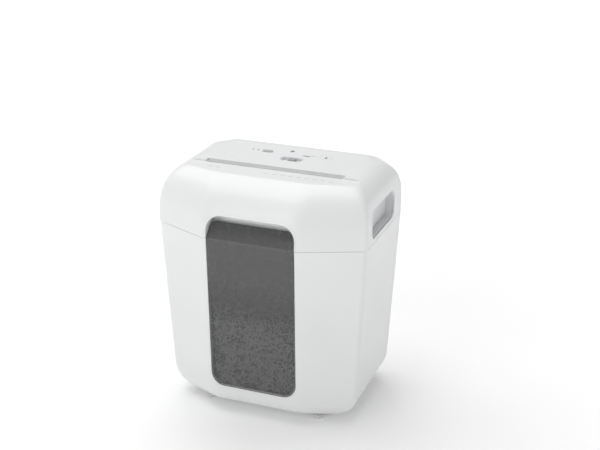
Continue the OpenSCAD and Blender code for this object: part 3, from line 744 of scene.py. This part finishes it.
def slab(sheet, layers, place):
    """A closed slab: layers (depth, growth) of one flat sheet, each bent by place(u, s, depth)."""
    us = [v.co.x for v in sheet.verts]
    ss = [v.co.y for v in sheet.verts]
    u_mid, u_half = (max(us) + min(us)) / 2, (max(us) - min(us)) / 2
    s_mid, s_half = (max(ss) + min(ss)) / 2, (max(ss) - min(ss)) / 2
    bm = bmesh.new()
    made = []
    for k, (depth, growth) in enumerate(layers):
        whole = k in (0, len(layers) - 1)
        copies = {}
        for v in sheet.verts:
            if whole or v.is_boundary:
                u = u_mid + (v.co.x - u_mid) * (1 + growth / u_half)
                s = s_mid + (v.co.y - s_mid) * (1 + growth / s_half)
                copies[v.index] = bm.verts.new(place(u, s, depth))
        made.append(copies)
    for face in sheet.faces:
        ids = [v.index for v in face.verts]
        bm.faces.new([made[0][i] for i in ids])
        bm.faces.new([made[-1][i] for i in reversed(ids)])
    for upper, lower in zip(made, made[1:]):
        for edge in sheet.edges:
            if edge.is_boundary:
                a, b = (v.index for v in edge.verts)
                bm.faces.new((upper[a], upper[b], lower[b], lower[a]))
    sheet.free()
    return bm


def make_window():
    """The smoked panel: a thin slab with soft edges, bent back over the rim as a lip."""
    outline = tongue(FLAT_HALF, FLAT_FOOT, FLAT_TOP, WINDOW_FOOT_ROUND, WINDOW_TOP_ROUND)
    back = WINDOW_T - WINDOW_PROUD
    layers = [
        (back, -0.3),
        (back - 0.3, 0),
        (0.2, 0),
        (-0.1, -0.1),
        (-0.4, -0.4),
        (-WINDOW_PROUD, -1.0),
    ]
    sheet = flat_sheet(outline, 3.5, 2.5)
    sheet_faces = 2 * len(sheet.faces)
    bm = metres(slab(sheet, layers, on_front))
    piece = new_piece("window_panel", bm, smoked, "bin")
    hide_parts("bin_window")
    return smooth(piece, 50, sheet_faces)


# ---- bin


def back_inside(z):
    """Inner face of the bin's back wall at height z."""
    return RIM_BACK - BIN_WALL - BACK_TAPER * (RIM_Z + BIN_WALL - z) / (RIM_Z - FLOOR_Z)


def make_bin():
    """The moulded bin: outer skin up, round the rim, inner skin down, then the window's opening."""
    rings = []
    base_steps = 22
    rim_steps = 6
    edge = 0.9
    edge_z = RIM_Z - SEAT_GAP - edge
    for a in quarter(base_steps)[:-1]:
        z = FLOOR_Z + BASE_ROUND * (1 - math.cos(a))
        rings.append(bin_ring(max(z, FLOOR_Z + JUST_ABOVE), 0, z))
    rings.append(bin_ring(FLOOR_Z + BASE_ROUND, 0))
    for a in quarter(rim_steps):
        rings.append(bin_ring(edge_z + edge * math.sin(a), edge * (1 - math.cos(a))))
    for a in reversed(quarter(rim_steps)):
        z = edge_z + edge * math.sin(a)
        rings.append(bin_ring(z - BIN_WALL, BIN_WALL - edge * (1 - math.cos(a)), z))
    rings.append(bin_ring(FLOOR_Z + BASE_ROUND - BIN_WALL, BIN_WALL, FLOOR_Z + BASE_ROUND))
    for a in reversed(quarter(base_steps)[:-1]):
        z = FLOOR_Z + BIN_WALL + (BASE_ROUND - BIN_WALL) * (1 - math.cos(a))
        rings.append(bin_ring(max(z - BIN_WALL, FLOOR_Z + JUST_ABOVE), BIN_WALL, z))
    bm = metres(loft(rings))
    piece = new_piece("bin_body", bm, white_gloss, "bin")
    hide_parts("bin_shell")
    # The rebate that holds the window has a soft edge; the opening behind it is smaller all round.
    flare = [(WINDOW_T - WINDOW_PROUD, 0), (0.3, 0), (-0.05, 0.35), (-0.6, 1.3), (-5, 1.4)]
    through = [(12, 0), (-4, 0)]
    cuts = []
    for grow, layers in ((WINDOW_FIT, flare), (-LEDGE, through)):
        outline = tongue(
            FLAT_HALF + grow, FLAT_FOOT - grow, PAST_RIM, WINDOW_FOOT_ROUND + grow, 1
        )
        cuts.append(scrap(slab(flat_sheet(outline, 4, 8), layers, straight_front)))
    carve(piece, cuts)
    foot, head = back_inside(RIB_FOOT), back_inside(RIB_TOP)
    side = [
        (foot - RIB_DEEP, RIB_FOOT),
        (foot + 1, RIB_FOOT),
        (head + 1, RIB_TOP),
        (head - RIB_DEEP, RIB_TOP),
    ]
    rib = prism(side, "x", RIB_X - RIB_HALF, RIB_X + RIB_HALF)
    carve(piece, [scrap(rib)], "UNION")
    return smooth(piece)


# ---- cover


def arch(half, height, radius, foot):
    """Outline of the arch in the X-Z plane, measured from the rim."""
    points = [(-half, RIM_Z - foot), (half, RIM_Z - foot)]
    for first, sign in ((0, 1), (90, -1)):
        for k in range(ARC_STEPS + 1):
            a = math.radians(first + 90 * k / ARC_STEPS)
            x = sign * (half - radius) + radius * math.cos(a)
            points.append((x, RIM_Z + height - radius + radius * math.sin(a)))
    return points


def make_cover():
    """The head's cover: inner skin down, round the lower edge, outer skin up, then its openings."""
    rings = []
    edge = 0.7
    edge_steps = 4
    heights = [HEAD_H * math.sin(a) for a in quarter(44)]
    inner_top = HEAD_H - DECK_T
    for h in reversed(heights[1:]):
        rings.append(cover_ring(h, COVER_WALL, RIM_Z + h * inner_top / HEAD_H))
    for a in quarter(edge_steps):
        z = RIM_Z + edge - edge * math.sin(a)
        rings.append(cover_ring(0, COVER_WALL - edge * (1 - math.cos(a)), z))
    for a in reversed(quarter(edge_steps)):
        z = RIM_Z + edge - edge * math.sin(a)
        rings.append(cover_ring(0, edge * (1 - math.cos(a)), z))
    for h in heights[1:]:
        rings.append(cover_ring(h, 0))
    bm = metres(loft(rings))
    piece = new_piece("cover_shell", bm, white_gloss, "head")
    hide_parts("top_cover")
    slot_end = THROAT_END + SEAT_GAP
    cuts = [
        prism(arch(ARCH_HALF, ARCH_H, ARCH_ROUND, 3), "y", RIM_FRONT - 5, RIM_FRONT + 30),
        block((-150, RIM_FRONT, DECK_Z - LIP_STEP), (150, SLOT_Y - 4, DECK_Z + 20)),
        block(
            (-slot_end, SLOT_Y - SLOT_HALF, DECK_Z - 30),
            (slot_end, SLOT_Y + SLOT_HALF, DECK_Z + 30),
        ),
    ]
    grip = round_rect((0, GRIP_Z), 2 * GRIP_HALF, GRIP_H, GRIP_ROUND)
    for side in (-1, 1):
        cuts.append(prism(grip, "x", side * (RIM_HALF - 18), side * (RIM_HALF + 18)))
    slider_mid = (slider_low + slider_high) / 2
    button_mid = (button_low + button_high) / 2
    deck = (DECK_Z - DECK_T - 1, DECK_Z + 5)
    for mid, well in ((slider_mid, (36, 18, 5)), (button_mid, (18, 10, 4.9))):
        cuts.append(prism(round_rect((mid.x, mid.y), *well), "z", *deck))
    lens_r = (lens_high.y - lens_low.y) / 2
    for x in (lens_low.x + lens_r, lens_high.x - lens_r):
        well = circle((x, lens_low.y + lens_r), lens_r + 0.1, FINE_CIRCLE_STEPS)
        cuts.append(prism(well, "z", *deck))
    inside, outside = RIM_BACK - 8, RIM_BACK + 12
    for i in range(-VENTS_EACH_SIDE, VENTS_EACH_SIDE + 1):
        x = i * VENT_PITCH + VENT_MID
        low, high = (x - VENT_W / 2, inside, VENT_Z[0]), (x + VENT_W / 2, outside, VENT_Z[1])
        cuts.append(block(low, high))
    cuts.append(prism(circle(GLAND, GLAND_R), "y", inside, outside))
    cuts.append(prism(circle(GLAND, GLAND_SEAT_R), "y", RIM_BACK - GLAND_SEAT, outside))
    carve(piece, [scrap(c) for c in cuts])
    return smooth(piece)


# ---- shreds

rng = random.Random(638)
HEAP_TOP = heap_high.z
SHRED_CEILING = RIM_Z - SKIRT_DROP - 1.5
# The heap's body gets a very low shade: painted shadow for the dark gaps between the strips.
HEAP_PAINTED_SHADOW = 0.05
STRIP_PARTS = 5
STRIP_T = 0.16


def heap_height(x, y):
    """Top of the heap of shreds at a place, in millimetres."""
    lumps = noise.noise(Vector((x / 34, y / 34, 3.1))) * 4.5
    lumps += noise.noise(Vector((x / 11, y / 11, 7.7))) * 2.0
    slope = -(0.13 if x < 0 else 0.05) * x - 0.09 * y
    return HEAP_TOP - 13 + slope + lumps


def held_in(point, margin):
    """The nearest place inside the bin's walls by a margin, under the ceiling."""
    t = (RIM_Z - point.z) / (RIM_Z - FLOOR_Z)
    under = round_in(max(JUST_ABOVE, point.z - FLOOR_Z), BASE_ROUND)
    half = RIM_HALF - SIDE_TAPER * t - under - BIN_WALL - margin
    front = RIM_FRONT + FRONT_TAPER * t + under + BIN_WALL + margin
    back = RIM_BACK - BACK_TAPER * t - BIN_WALL - margin
    x = max(-half, min(half, point.x))
    slant = (abs(x) - FLAT_HALF) * CORNER_IN / (RIM_HALF - FLAT_HALF)
    chamfer = (abs(x) - (half - CHAMFER_IN)) * CHAMFER_BACK / CHAMFER_IN
    y = max(front + max(0, slant), min(back - max(0, chamfer), point.y))
    return Vector((x, y, min(point.z, SHRED_CEILING)))


def strip_into(bm, shades, at, heading, up, length, width, curl, twist, shade):
    """One curled strip of paper: a thin closed ribbon that starts at a place, in millimetres."""
    point = Vector(at)
    forward = heading.normalized()
    normal = (up - forward * up.dot(forward)).normalized()
    ends = []
    for _ in range(STRIP_PARTS + 1):
        side = forward.cross(normal).normalized()
        ring = []
        for a, b in ((-1, -1), (1, -1), (1, 1), (-1, 1)):
            corner = held_in(point + side * (a * width / 2), 1.0) + normal * (b * STRIP_T / 2)
            ring.append(bm.verts.new(corner * MM))
        ends.append(ring)
        bend = Matrix.Rotation(curl / STRIP_PARTS, 3, side)
        roll = Matrix.Rotation(twist / STRIP_PARTS, 3, forward)
        forward = (bend @ forward).normalized()
        normal = (roll @ (bend @ normal)).normalized()
        point = point + forward * (length / STRIP_PARTS)
    for low, high in zip(ends, ends[1:]):
        for i in range(4):
            j = (i + 1) % 4
            bm.faces.new((low[i], low[j], high[j], high[i]))
    bm.faces.new(ends[0])
    bm.faces.new(ends[-1])
    shades.extend([shade] * (STRIP_PARTS * 4 + 2))


def strip_shade():
    """Mostly white paper, some of it printed grey."""
    return rng.uniform(0.72, 1.0) if rng.random() < 0.86 else rng.uniform(0.15, 0.5)


def paper_piece(name, bm, shades):
    """A piece of paper with a shade for each of its faces."""
    piece = new_piece(name, bm, paper, "bin")
    layer = piece.data.attributes.new("shade", "FLOAT", "FACE")
    layer.data.foreach_set("value", shades)
    return piece


def make_top_strips(count):
    """Loose strips that lie on the heap, most of them flat and a few sticking up."""
    bm = bmesh.new()
    shades = []
    made = 0
    while made < count:
        x, y = rng.uniform(-160, 160), rng.uniform(-120, 120)
        here = Vector((x, y, HEAP_TOP - 20))
        if (held_in(here, 8) - here).length > 0:
            continue
        made += 1
        turn = rng.uniform(0, 2 * math.pi)
        rise = rng.gauss(0.05, 0.22) if rng.random() < 0.93 else rng.uniform(0.5, 1.2)
        heading = Vector((math.cos(turn), math.sin(turn), rise))
        length = rng.uniform(12, 28)
        tip = here + Vector((heading.x, heading.y, 0)) * length
        if (held_in(tip, 2) - tip).length > 0:
            heading.x, heading.y = -heading.x, -heading.y
        up = Vector((rng.gauss(0, 0.45), rng.gauss(0, 0.45), 1))
        place = (x, y, heap_height(x, y) + rng.uniform(-2.0, 3.0))
        strip_into(
            bm, shades, place, heading, up, length, rng.uniform(1.6, 2.8),
            rng.gauss(0, 0.75), rng.gauss(0, 0.9), strip_shade(),
        )
    paper_piece("shred_strips_top", bm, shades)


def make_window_strips(count):
    """Strips that lie against the inside of the window."""
    bm = bmesh.new()
    shades = []
    for _ in range(count):
        u = rng.uniform(-FLAT_HALF + 6, FLAT_HALF - 6)
        s = rng.uniform(FLAT_FOOT + 4, HEAP_TOP - RIM_Z - 16)
        turn = rng.uniform(0, 2 * math.pi)
        depth = 4.6 + abs(rng.gauss(0, 1.6))
        place = on_front(u, s, depth)
        far = on_front(u + 20 * math.cos(turn), s + 20 * math.sin(turn), depth)
        heading = far - place
        outward = on_front(u, s, 0) - on_front(u, s, 1)
        up = outward + Vector((rng.gauss(0, 0.35), 0, rng.gauss(0, 0.35)))
        length = rng.uniform(16, 32)
        strip_into(
            bm, shades, place, heading, up, length, rng.uniform(1.6, 2.6),
            -abs(rng.gauss(0, 0.8)), rng.gauss(0, 0.7), strip_shade(),
        )
    paper_piece("shred_strips_window", bm, shades)


def make_heap():
    """The body of the heap: a lumpy closed block just inside the bin, painted dark as the shadow in
    the gaps between its strips.
    """
    gap = BIN_WALL + 4
    steps = 12
    rings = []
    for a in quarter(steps)[:-1]:
        z = FLOOR_Z + gap + BASE_ROUND * (1 - math.cos(a))
        rings.append(bin_ring(max(z - gap, FLOOR_Z + JUST_ABOVE), gap, z))
    wall_foot = FLOOR_Z + BASE_ROUND + gap
    wall_top = HEAP_TOP - 36
    for k in range(steps + 1):
        rings.append(bin_ring(wall_foot + (wall_top - wall_foot) * k / steps, gap))
    centre = Vector((0, 0))
    rim = [Vector(p[:2]) for p in bin_ring(HEAP_TOP, gap)]
    for share in (1.0, 0.93, 0.84, 0.74, 0.63, 0.52, 0.41, 0.3, 0.19, 0.09):
        below_strips = 7 if share == 1 else 2
        spots = [centre.lerp(p, share) for p in rim]
        rings.append([(q.x, q.y, heap_height(q.x, q.y) - below_strips) for q in spots])
    bm = loft(rings)
    for v in bm.verts:
        jitter = noise.noise_vector(v.co / 9) * 1.2
        v.co += Vector((jitter.x, jitter.y, jitter.z * 0.5))
    piece = paper_piece("shred_heap", metres(bm), [HEAP_PAINTED_SHADOW] * len(bm.faces))
    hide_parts("shredded_paper")
    return smooth(piece, 60)


# ---- printed marks on the deck: plain shapes only

PRINT_T = 0.08


def raised_mark(outlines, level):
    """Flat shapes that stand a print's thickness above a level."""
    bm = bmesh.new()
    for outline in outlines:
        low = [bm.verts.new((x, y, level - 0.3)) for x, y in outline]
        high = [bm.verts.new((x, y, level + PRINT_T)) for x, y in outline]
        bm.faces.new(low)
        bm.faces.new(high)
        for i in range(len(outline)):
            j = (i + 1) % len(outline)
            bm.faces.new((low[i], low[j], high[j], high[i]))
    return metres(bm)


def ring_dashes(centre, radius, count, width):
    """Short bars set round a circle."""
    bars = []
    for k in range(count):
        a = 2 * math.pi * k / count
        out = Vector((math.cos(a), math.sin(a)))
        side = left_of(out) * width / 2
        near, far = out * (radius - 0.8), out * (radius + 0.8)
        corners = (near - side, far - side, far + side, near + side)
        bars.append([(centre[0] + c.x, centre[1] + c.y) for c in corners])
    return bars


def make_deck_marks():
    """Grey marks by the controls and a row of small ones along the lip."""
    dark = [
        [(-3, 67.5), (-7.2, 62), (-3, 56.5), (1.2, 62)],
        round_rect((26, 47), 12, 3.6, 1.7),
        round_rect((58, 50), 3.4, 8, 1.6),
    ]
    new_piece("deck_marks_dark", raised_mark(dark, DECK_Z), print_dark, "head")
    pale = [round_rect((36, 51), 9, 2.6, 1.2)]
    pale += ring_dashes((57, 51), 9.5, 14, 1.5)
    new_piece("deck_marks_pale", raised_mark(pale, DECK_Z), print_grey, "head")
    row = [round_rect((x, -47), 7.5, 2.0, 0.9) for x in range(-4, 107, 13)]
    row += [round_rect((x, -47), 7.0, 2.2, 1.0) for x in (-97, -84)]
    lip = raised_mark(row, DECK_Z - LIP_STEP)
    new_piece("lip_marks", lip, print_grey, "head")


# ---- finishes of the CAD nodes

# Nodes whose look differs from the rest of their slot.
OWN_FINISH = {
    "paper_throat": white_gloss,
    "front_shaft": steel_turned,
    "rear_shaft": steel_turned,
    "tie_rods": steel_turned,
    "idler_pin": steel_turned,
}
# Widths of the rounded edges, in millimetres.
SOFT_EDGES = {
    "bin_feet": 0.8,
    "interlock_post": 0.5,
    "arch_liner": 0.8,
    "lower_housing": 0.6,
    "centre_panel": 0.4,
    "left_grip": 0.7,
    "right_grip": 0.7,
    "paper_throat": 0.3,
    "switch_tray": 0.3,
    "cord_gland": 0.5,
    "mode_slider": 0.35,
    "reverse_button": 0.5,
    "interlock_plunger": 0.3,
}


def finish_nodes():
    """Gives every carried-over CAD node its material, and softens the edges that show."""
    for name, node in nodes.items():
        slot = node.active_material.name.split(".")[0] if node.active_material else ""
        finish = OWN_FINISH.get(name, FINISH.get(slot))
        if finish is None:
            print("no finish for", name, slot)
            continue
        node.data.materials.clear()
        node.data.materials.append(finish)
        if name in SOFT_EDGES:
            soften(node, SOFT_EDGES[name])


finish_nodes()
make_window()
make_bin()
make_cover()
make_heap()
make_top_strips(2300)
make_window_strips(1800)
make_deck_marks()


def make_floor():
    """A pale floor that fades into the white of the studio with distance."""
    bm = bmesh.new()
    bmesh.ops.create_grid(bm, x_segments=1, y_segments=1, size=FLOOR_HALF)
    mesh = bpy.data.meshes.new("floor")
    bm.to_mesh(mesh)
    bm.free()
    shader = Shader("pale_floor", (0.93, 0.93, 0.93), 0.7)
    shader.tint(shader.noise(3, 2), 0.995, 1.0)
    shader.bsdf.inputs["Emission Color"].default_value = (1, 1, 1, 1)
    reach = shader.add("ShaderNodeVectorMath", operation="LENGTH")
    shader.link(shader.place, reach.inputs[0])
    glow = shader.ramp(reach.outputs["Value"], 0.1, 0.8, 0.4, 3.5)
    shader.link(glow, shader.bsdf.inputs["Emission Strength"])
    mesh.materials.append(shader.material)
    floor = bpy.data.objects.new("floor", mesh)
    scene.collection.objects.link(floor)


make_floor()
